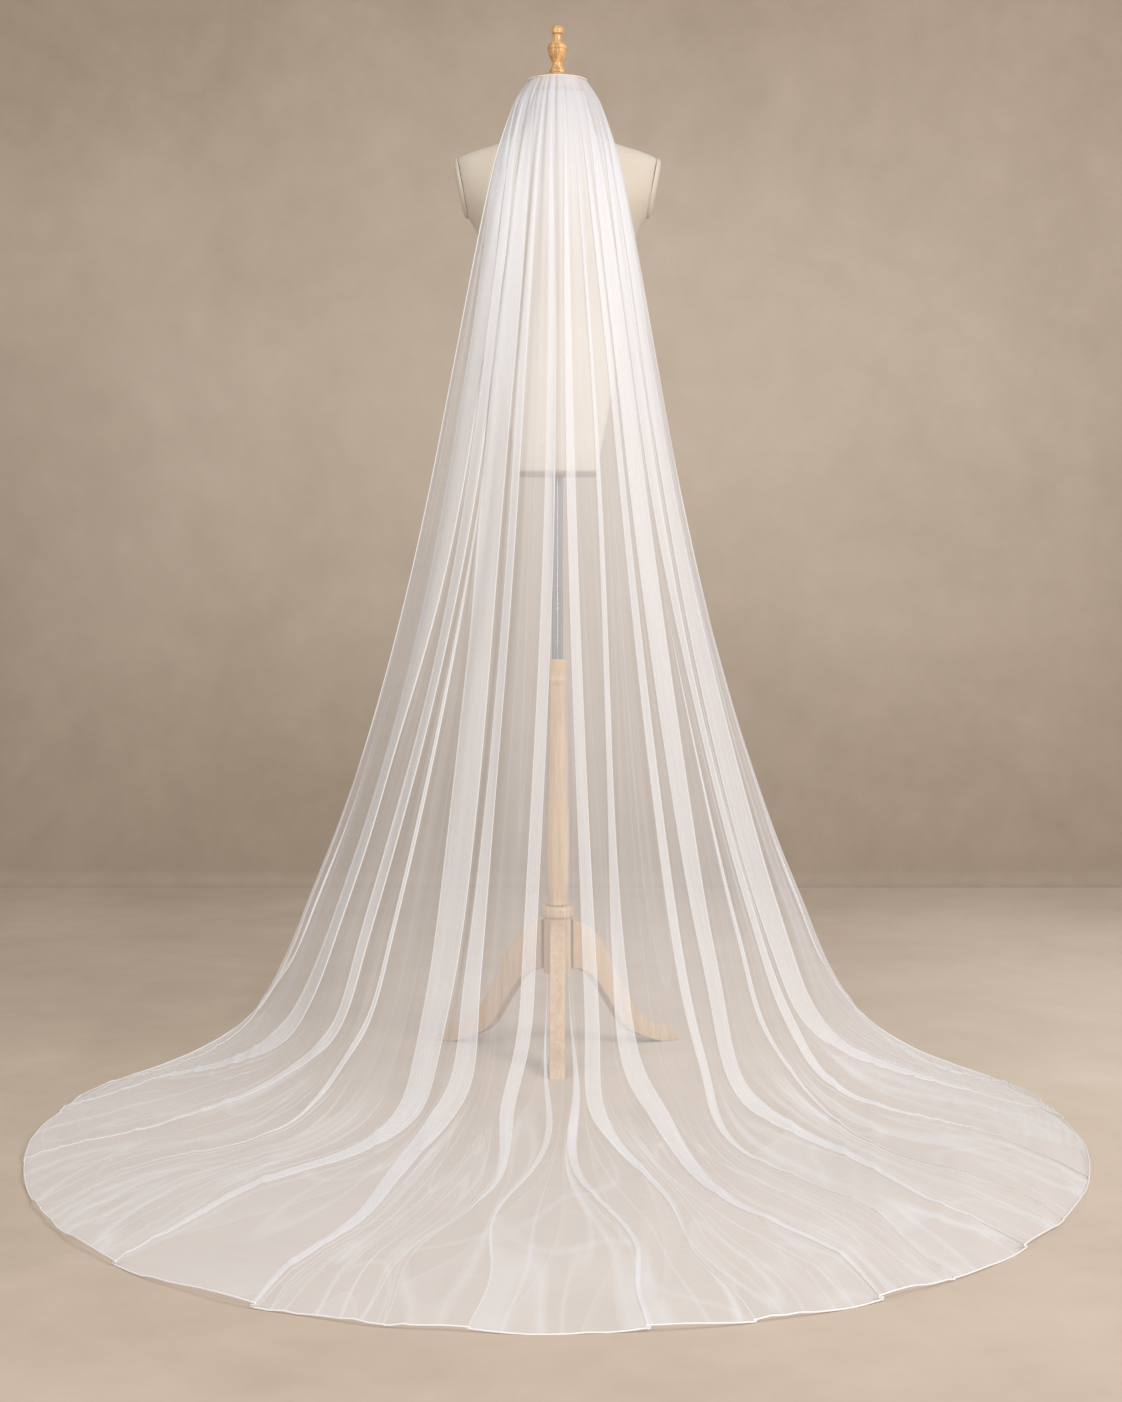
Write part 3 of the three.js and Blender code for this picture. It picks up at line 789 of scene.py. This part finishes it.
def trim_at_armhole(points, side):
    """Moves what lies beyond the armhole's plane straight back onto it."""
    normal = np.array([side * math.cos(arm_tilt), 0, -math.sin(arm_tilt)])
    centre = arm_centre * [side, 1, 1]
    beyond = np.maximum((points - centre) @ normal + 0.3, 0)
    points[..., 0] -= beyond / normal[0]
    return beyond > 0


turns = 2 * np.pi * np.arange(torso_sides) / torso_sides
body_places = np.linspace(0, len(torso_rings) - 1, 8 * (len(torso_rings) - 1) + 1)
body = []
groove = []
for place in body_places:
    height, width, front, back = between(torso_rings, place)
    depth = np.where(np.sin(turns) > 0, front, back)
    level = np.full(torso_sides, height)
    ring = np.stack([width * np.cos(turns), depth * np.sin(turns), level], axis=1)
    away = np.min([np.abs((np.degrees(turns) - a + 180) % 360 - 180) for a in seam_angles], axis=0)
    reach = away * math.pi / 180 * np.hypot(ring[:, 0], ring[:, 1])
    line = np.exp(-((reach / seam_width) ** 2)) * (height < seam_top)
    inward = ring[:, :2] / np.linalg.norm(ring[:, :2], axis=1, keepdims=True)
    ring[:, :2] -= inward * seam_depth * line[:, None]
    body.append(ring)
    groove.append(line)
body = np.array(body)
groove = np.array(groove)
for side in (-1, 1):
    groove[trim_at_armhole(body, side)] = 0
body_uv = np.stack([np.broadcast_to(turns * 0.15, body.shape[:2]), body[:, :, 2] * MM], axis=-1)
body_points = (body * MM + [0, form_axis_y, 0]).reshape(-1, 3)
count = len(body_points)
body_faces = [tuple(f) for f in grid_faces(len(body), torso_sides, closed=True)]
body_faces = [face[::-1] for face in body_faces]
body_faces += [tuple(range(torso_sides))[::-1], tuple(range(count - torso_sides, count))]
torso = piece_of("linen_body", body_points, body_faces, linen_material)
lay_out(torso, "linen", body_uv)
number_on(torso, "seam", groove)
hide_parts("torso")
print("body:", len(torso.data.polygons), "faces")


# %% Arm plates
plate_rows, plate_sides = 36, 96
plate_half_height, plate_half_depth = 55, 44
plate_profile = np.array([
    [1.0, 0.2], [0.995, 1.6], [0.975, 3.8], [0.94, 5.8], [0.87, 7.6], [0.7, 8.8], [0.4, 9.2],
    [0.02, 9.3],
])
rim_row, rim_rows = 11.0, 1.6


def arm_plate(name, side):
    """An oval board covered in linen, with a rolled rim and a slightly crowned face."""
    steps = np.linspace(0, len(plate_profile) - 1, plate_rows)
    spin = 2 * np.pi * np.arange(plate_sides) / plate_sides
    high, deep = plate_half_height * np.cos(spin), plate_half_depth * np.sin(spin)
    local = np.array([
        np.stack([reach * high, reach * deep, np.full(plate_sides, out)], axis=1)
        for reach, out in (between(plate_profile, step) for step in steps)
    ])
    turned = np.empty_like(local)
    tilt = math.pi / 2 + arm_tilt
    turned[..., 0] = side * (local[..., 0] * math.cos(tilt) + local[..., 2] * math.sin(tilt))
    turned[..., 1] = local[..., 1]
    turned[..., 2] = -local[..., 0] * math.sin(tilt) + local[..., 2] * math.cos(tilt)
    points = (turned + arm_centre * [side, 1, 1]) * MM + [0, form_axis_y, 0]
    last = plate_rows * plate_sides
    faces = [tuple(f) for f in grid_faces(plate_rows, plate_sides, closed=True)]
    faces += [tuple(range(plate_sides)), tuple(range(last - 1, last - plate_sides - 1, -1))]
    if side > 0:
        faces = [face[::-1] for face in faces]
    plate = piece_of(name, points.reshape(-1, 3), faces, linen_material)
    lay_out(plate, "linen", local[..., :2] * MM)
    rim = np.exp(-((np.arange(plate_rows) - rim_row) / rim_rows) ** 2)
    number_on(plate, "seam", rim[:, None] * np.full((plate_rows, plate_sides), 0.5))
    return plate


plate_left = arm_plate("linen_plate_left", -1)
plate_right = arm_plate("linen_plate_right", 1)
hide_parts("arm_plate_left")
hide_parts("arm_plate_right")
print("plates:", len(plate_left.data.polygons) * 2, "faces")


# %% [markdown]
# ## Turned wood
# The cap and finial are stained a honey brown and varnished; the stand is plain beech under a thin
# satin lacquer. Grain is a noise pulled out long along the wood, with finer pores in it.

# %% Finish of the wood
def wood(name, dark, light, along, roughness, coat):
    finish = Finish(name)
    place = finish.place()
    rings_in_wood = finish.noise(finish.scaled(place, along), 1.0, 4.0, 0.55, 1.1)
    pores = finish.noise(finish.scaled(place, tuple(a * 6 for a in along)), 1.0, 2.0, 0.6)
    grain = (0.72 * rings_in_wood + 0.28 * pores).within(0, 1)
    colour = finish.node(
        "ShaderNodeValToRGB", {"stops": [(0.3, dark), (0.62, light)]}, {0: grain}, output="Color",
    )
    shader = finish.node(
        "ShaderNodeBsdfPrincipled", {},
        {"Base Color": colour, "Roughness": roughness + 0.12 * pores, "Coat Weight": coat,
         "Coat Roughness": 0.15, "Normal": finish.bump(pores, 0.12, 0.2 * MM)},
    )
    return finish.surface(shader)


honey_material = wood(
    "honey_wood", (0.37, 0.165, 0.045, 1), (0.84, 0.52, 0.21, 1), (90.0, 90.0, 12.0), 0.2, 1.0,
)
beech_material = wood(
    "pale_wood", (0.46, 0.30, 0.17, 1), (0.62, 0.445, 0.28, 1), (110.0, 110.0, 9.0), 0.42, 0.15,
)
print("two woods")


# %% Turned pieces
def turned_piece(name, profile, lift, material, segments=96, fine=5):
    """Spins a smooth curve through a profile of radius against height, both in millimetres."""
    table = np.array(profile, dtype=float)
    spans = len(table) - 1
    curve = np.array([between(table, p) for p in np.linspace(0, spans, fine * spans + 1)])
    curve[:, 0] = np.maximum(curve[:, 0], 0.05)
    spin = 2 * np.pi * np.arange(segments) / segments
    points = np.array([
        [[r * math.cos(a), r * math.sin(a), z + lift] for a in spin] for r, z in curve
    ]) * MM + [0, form_axis_y, 0]
    faces = [tuple(f)[::-1] for f in grid_faces(len(curve), segments, closed=True)]
    last = len(curve) * segments
    faces += [tuple(range(segments))[::-1], tuple(range(last - segments, last))]
    if curve[0, 1] > curve[-1, 1]:
        faces = [face[::-1] for face in faces]
    return piece_of(name, points.reshape(-1, 3), faces, material)


cap_dome = [[55 * math.cos(a), 1762 + 19 * math.sin(a)] for a in np.radians(np.linspace(0, 89, 7))]
cap_profile = [[40, 1746], [52, 1746], [54.6, 1748.5], [55, 1753]] + cap_dome
finial_profile = [
    [0, 0], [14.2, 0], [14.8, 2], [14.6, 5], [12.6, 8.5], [10.6, 12.5], [9.6, 18], [11.4, 23.5],
    [15, 31], [17.2, 40], [16.9, 41.5], [18, 43.5], [18.4, 46.5], [16.6, 50], [12.6, 54.5],
    [9.8, 57.5], [8.6, 61], [8.7, 69.5], [11.6, 71.5], [12, 73.5], [12.3, 77], [10.8, 82],
    [7, 85.8], [0, 88],
]
pole_profile = [
    [0, 270.3], [17, 270.3], [17.5, 282], [19.5, 305], [21.5, 345], [21.8, 390], [20.5, 450],
    [18.6, 520], [17.2, 600], [16.6, 668], [17.4, 676], [19, 684], [17.6, 690], [17.6, 700],
    [18.4, 706], [18.2, 716], [16, 721.7], [0, 721.7],
]
collar_profile = [
    [20, 248.3], [27, 248.3], [30.5, 252], [31, 259], [30.5, 266], [26, 270], [18, 270],
]
hub_profile = [
    [0, 148], [23.5, 148], [25.5, 150], [25.5, 180], [25.5, 220], [25.5, 246], [24.5, 248],
    [10, 248],
]

neck_cap = turned_piece("varnished_cap", cap_profile, 0, honey_material)
finial = turned_piece("varnished_finial", finial_profile, 1781.3, honey_material)
pole = turned_piece("beech_pole", pole_profile, 0, beech_material)
collar = turned_piece("beech_collar", collar_profile, 0, beech_material)
hub = turned_piece("beech_hub", hub_profile, 0, beech_material)
turned = {"neck_cap": neck_cap, "finial": finial, "pole": pole, "collar": collar, "hub": hub}
for node, piece in turned.items():
    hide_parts(node)
print("turned pieces:", [len(piece.data.polygons) for piece in turned.values()])

# %% [markdown]
# ## Legs
# Each leg is sawn from a plank to a swan-neck curve and its edges are rounded with a router. The
# outline is filled with one face, given its thickness, and the edges are beveled as mesh, because
# that follows the curve better than points set by hand.

# %% Legs
leg_top = [[26, 244], [66, 224], [106, 172], [150, 88], [190, 44], [232, 29], [252, 15]]
leg_under = [[222, 0], [178, 14], [138, 38], [104, 88], [74, 130], [46, 149], [26, 153]]
leg_tip = [256.0, 0.0]
leg_thickness = 28
leg_rounding = 4.5 * MM


def plank_outline():
    curve = []
    for edge in (leg_top, leg_under):
        table = np.array(edge, dtype=float)
        curve += [between(table, p) for p in np.linspace(0, len(table) - 1, 37)]
        if edge is leg_top:
            curve.append(np.array(leg_tip))
    return np.maximum(np.array(curve), 0)


def leg_piece(name, heading):
    outline = plank_outline()
    work = bmesh.new()
    for side in (-1, 1):
        for reach, height in outline:
            work.verts.new((reach * MM, side * leg_thickness / 2 * MM, height * MM))
    work.verts.ensure_lookup_table()
    n = len(outline)
    work.faces.new([work.verts[i] for i in range(n)])
    work.faces.new([work.verts[i] for i in range(2 * n - 1, n - 1, -1)])
    for i in range(n):
        j = (i + 1) % n
        work.faces.new([work.verts[i], work.verts[n + i], work.verts[n + j], work.verts[j]])
    bmesh.ops.recalc_face_normals(work, faces=work.faces)
    rim = [e for e in work.edges if abs(e.verts[0].co.y - e.verts[1].co.y) < 1e-6]
    bmesh.ops.bevel(
        work, geom=rim, offset=leg_rounding, segments=4, profile=0.5, affect="EDGES",
        clamp_overlap=True,
    )
    points = np.array([v.co[:] for v in work.verts])
    faces = [[v.index for v in f.verts] for f in work.faces]
    work.free()
    turn = math.radians(heading)
    spun = np.stack([
        points[:, 0] * math.cos(turn) - points[:, 1] * math.sin(turn),
        points[:, 0] * math.sin(turn) + points[:, 1] * math.cos(turn) + form_axis_y,
        points[:, 2],
    ], axis=1)
    return piece_of(name, spun, faces, beech_material, sharp=math.radians(50))


for node, heading in (("leg_back", -90), ("leg_left", 150), ("leg_right", 30)):
    leg = leg_piece("beech_" + node, heading)
    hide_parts(node)
print("legs:", len(leg.data.polygons), "faces each")

# %% [markdown]
# ## Steel rod
# A round steel rod slides in the pole to set the form's height. It is drawn tube, brushed along
# its length, so its roughness is streaked and its colour is nearly even.

# %% Rod
steel = Finish("drawn_steel")
drawn = steel.noise(steel.scaled(steel.place(), (900.0, 900.0, 14.0)), 1.0, 3.0, 0.6)
steel_colour = steel.mixed(drawn, (0.36, 0.36, 0.365, 1), (0.52, 0.52, 0.525, 1))
steel_material = steel.surface(steel.node(
    "ShaderNodeBsdfPrincipled", {},
    {"Base Color": steel_colour, "Metallic": 1.0, "Roughness": 0.14 + 0.14 * drawn},
))
rod_profile = [[9, 722.3], [10, 723.5], [10, 800], [10, 900], [10, 1000], [10, 1056.5], [9, 1057.7]]
rod = turned_piece("steel_tube", rod_profile, 0, steel_material, segments=64, fine=3)
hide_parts("steel_rod")
print("rod:", len(rod.data.polygons), "faces")

# %% [markdown]
# ## The studio
# A painted canvas hangs behind and runs forward as the floor, with a soft bend between them. The
# mottling is faint, as on a hand-painted backdrop. Light and shade are painted on it too: the wall
# and the floor are painted lighter round soft patches and darker away from them. The canvas is
# painted on its front only and is clear from its back, so that the form can be seen from every
# side. Light comes from two large soft boxes, a strip by the camera and the room, so that the sheer
# cloth is lit evenly.

# %% Backdrop and floor
canvas = Finish("painted_canvas")
canvas_place = canvas.place()
clouds = canvas.noise(canvas_place, 1.3, 5.0, 0.6, 0.6)
fibres = canvas.noise(canvas.scaled(canvas_place, (9.0, 6.0, 9.0)), 1.0, 5.0, 0.65)
right = canvas.node("ShaderNodeSeparateXYZ", {}, {0: canvas_place}, output="X")
behind = canvas.node("ShaderNodeSeparateXYZ", {}, {0: canvas_place}, output="Y")
height = canvas.node("ShaderNodeSeparateXYZ", {}, {0: canvas_place}, output="Z")
on_wall = (height / 0.004).within(0, 1)


def painted_light_patch(first, second):
    """A soft round patch of painted light, from one in its middle to nothing."""
    return math.e ** ((first * first + second * second) * -1)


# Painted light and shade: the wall is painted lighter round a patch near its middle and darker
# towards its edges, top and bottom, and the floor is painted lighter round a patch to the right and
# darker away from it.
wall_painted_light_mask = painted_light_patch((right - 0.1) / 2.0, (height - 1.4) / 1.0)
floor_painted_light_mask = painted_light_patch((right - 1.5) / 1.2, (behind - 1.2) / 1.8)
mottled = (1.5 * clouds + 0.8 * fibres - 0.65).within(0, 1)
floor_painted_shade = canvas.mixed(mottled, (0.47, 0.385, 0.31, 1), (0.62, 0.52, 0.43, 1))
floor_painted_lit = canvas.mixed(mottled, (0.70, 0.60, 0.51, 1), (0.82, 0.72, 0.63, 1))
wall_painted_shade = canvas.mixed(mottled, (0.33, 0.258, 0.198, 1), (0.45, 0.364, 0.29, 1))
wall_painted_lit = canvas.mixed(mottled, (0.53, 0.45, 0.37, 1), (0.65, 0.565, 0.48, 1))
floor_colour_with_painted_light = canvas.mixed(floor_painted_light_mask, floor_painted_shade, floor_painted_lit)
wall_colour_with_painted_light = canvas.mixed(wall_painted_light_mask, wall_painted_shade, wall_painted_lit)
canvas_shader = canvas.node(
    "ShaderNodeBsdfPrincipled", {},
    {"Base Color": canvas.mixed(on_wall, floor_colour_with_painted_light, wall_colour_with_painted_light), "Roughness": 0.9,
     "Specular IOR Level": 0.2},
)
from_its_back = canvas.node("ShaderNodeNewGeometry", output="Backfacing")
open_back = canvas.node("ShaderNodeBsdfTransparent")
canvas_material = canvas.surface(canvas.node(
    "ShaderNodeMixShader", {}, {0: from_its_back, 1: canvas_shader, 2: open_back},
))

wall_y = 3.33
bend = 0.05
half_width = 9.0
sweep_line = [(-9.0, 0.0), (wall_y - bend, 0.0)]
sweep_line += [
    (wall_y - bend + bend * math.sin(a), bend - bend * math.cos(a))
    for a in np.radians(np.linspace(6, 90, 15))
]
sweep_line += [(wall_y, 7.0)]
backdrop_mesh = bpy.data.meshes.new("canvas_sweep")
backdrop_points = [(x, y, z) for y, z in sweep_line for x in (-half_width, half_width)]
backdrop_faces = [tuple(f)[::-1] for f in grid_faces(len(sweep_line), 2)]
backdrop_mesh.from_pydata(backdrop_points, [], backdrop_faces)
backdrop_mesh.shade_smooth()
backdrop_mesh.materials.append(canvas_material)
backdrop = bpy.data.objects.new("canvas_sweep", backdrop_mesh)
bpy.context.collection.objects.link(backdrop)
print("backdrop:", len(backdrop_mesh.polygons), "faces")


# %% Light
def soft_box(name, place, target, size, power, colour):
    data = bpy.data.lights.new(name, "AREA")
    data.shape = "RECTANGLE"
    data.size, data.size_y = size
    data.energy = power
    data.color = colour
    lamp = bpy.data.objects.new(name, data)
    lamp.location = place
    way = np.array(target) - np.array(place)
    flat = math.hypot(way[0], way[1])
    lamp.rotation_euler = (math.atan2(flat, -way[2]), 0, math.atan2(-way[0], way[1]))
    bpy.context.collection.objects.link(lamp)
    return lamp


middle = (0, 0.4, 0.9)
large_box = (2.6, 2.6)
soft_box("key_box", (3.0, -2.8, 3.2), middle, large_box, 152, (1.0, 0.97, 0.95))
soft_box("fill_box", (-3.0, -3.0, 2.8), middle, large_box, 46, (1.0, 0.97, 0.94))
soft_box("strip_box", (0.25, -4.3, 1.6), middle, (0.8, 2.2), 26, (1.0, 0.99, 0.98))
world = bpy.data.worlds.new("room_light")
world.use_nodes = True
world.node_tree.nodes["Background"].inputs["Color"].default_value = (1.0, 0.975, 0.95, 1)
world.node_tree.nodes["Background"].inputs["Strength"].default_value = 0.60
bpy.context.scene.world = world
scene = bpy.context.scene
scene.view_settings.view_transform = "Standard"
scene.cycles.transparent_max_bounces = 24
scene.cycles.diffuse_bounces = 2
scene.cycles.max_bounces = 6
print("three soft boxes and the room")

# %% [markdown]
# ## The cut
# The veil is one width of tulle with its far end rounded, and all of it shows, apart from what the
# gathers hide. The modelled sheet has about three quarters of its area, because the finest gathers
# and folds are too small to model in full.

first_halves = np.cross(sheet[1:, :-1] - sheet[:-1, :-1], sheet[:-1, 1:] - sheet[:-1, :-1])
other_halves = np.cross(sheet[1:, 1:] - sheet[1:, :-1], sheet[:-1, 1:] - sheet[1:, 1:])
halves = np.stack([first_halves, other_halves])
sheet_area = float(np.linalg.norm(halves, axis=-1).sum() / 2)
print("sheet area", round(sheet_area, 2), "square metres")
